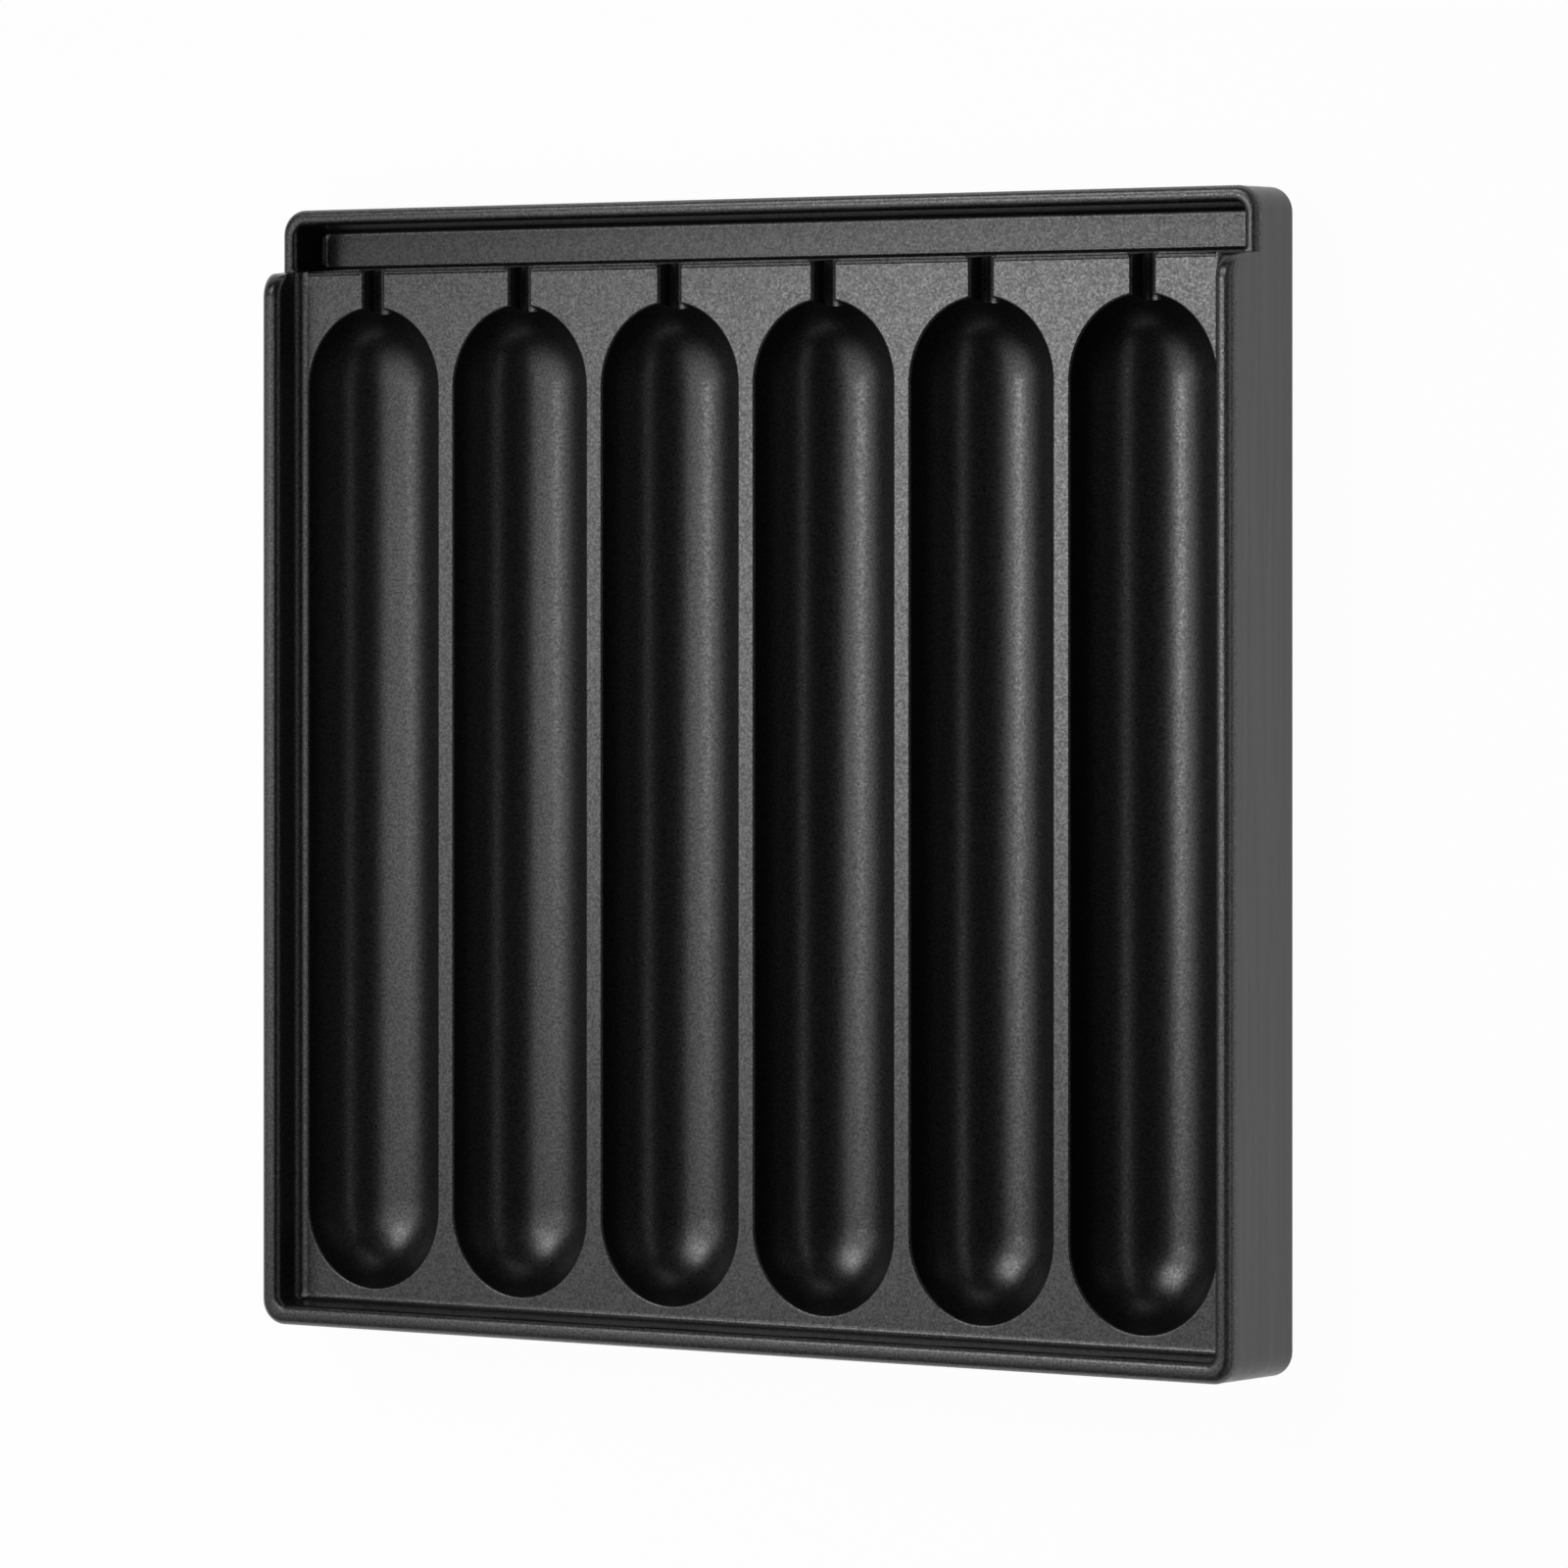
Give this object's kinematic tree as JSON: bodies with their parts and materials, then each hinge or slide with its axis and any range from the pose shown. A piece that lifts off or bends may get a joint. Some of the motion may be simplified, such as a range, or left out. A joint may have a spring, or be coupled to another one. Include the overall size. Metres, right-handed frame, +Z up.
{
  "type": "sausage grill pan",
  "caption": "Square non-stick grill pan with parallel half-round sausage troughs, a stick slot at the head of each, and a sunken stick ledge behind a lower rim.",
  "frame": {"origin": "centre of the pan's outline at the foot, on the surface that it stands on", "axes": "+X across the troughs, +Y along the troughs towards the stick ledge, +Z up, out of the troughs"},
  "size_m": [0.2048, 0.2046, 0.0212],
  "materials": {
    "casting": "die-cast aluminium with a smooth dark grey heat-proof enamel on the outside",
    "coating": "charcoal-black fired non-stick coat with a fine sparkling grain"
  },
  "bodies": {
    "root": {"pan_casting": "casting", "nonstick_coating": "coating"}
  },
  "joints": []
}
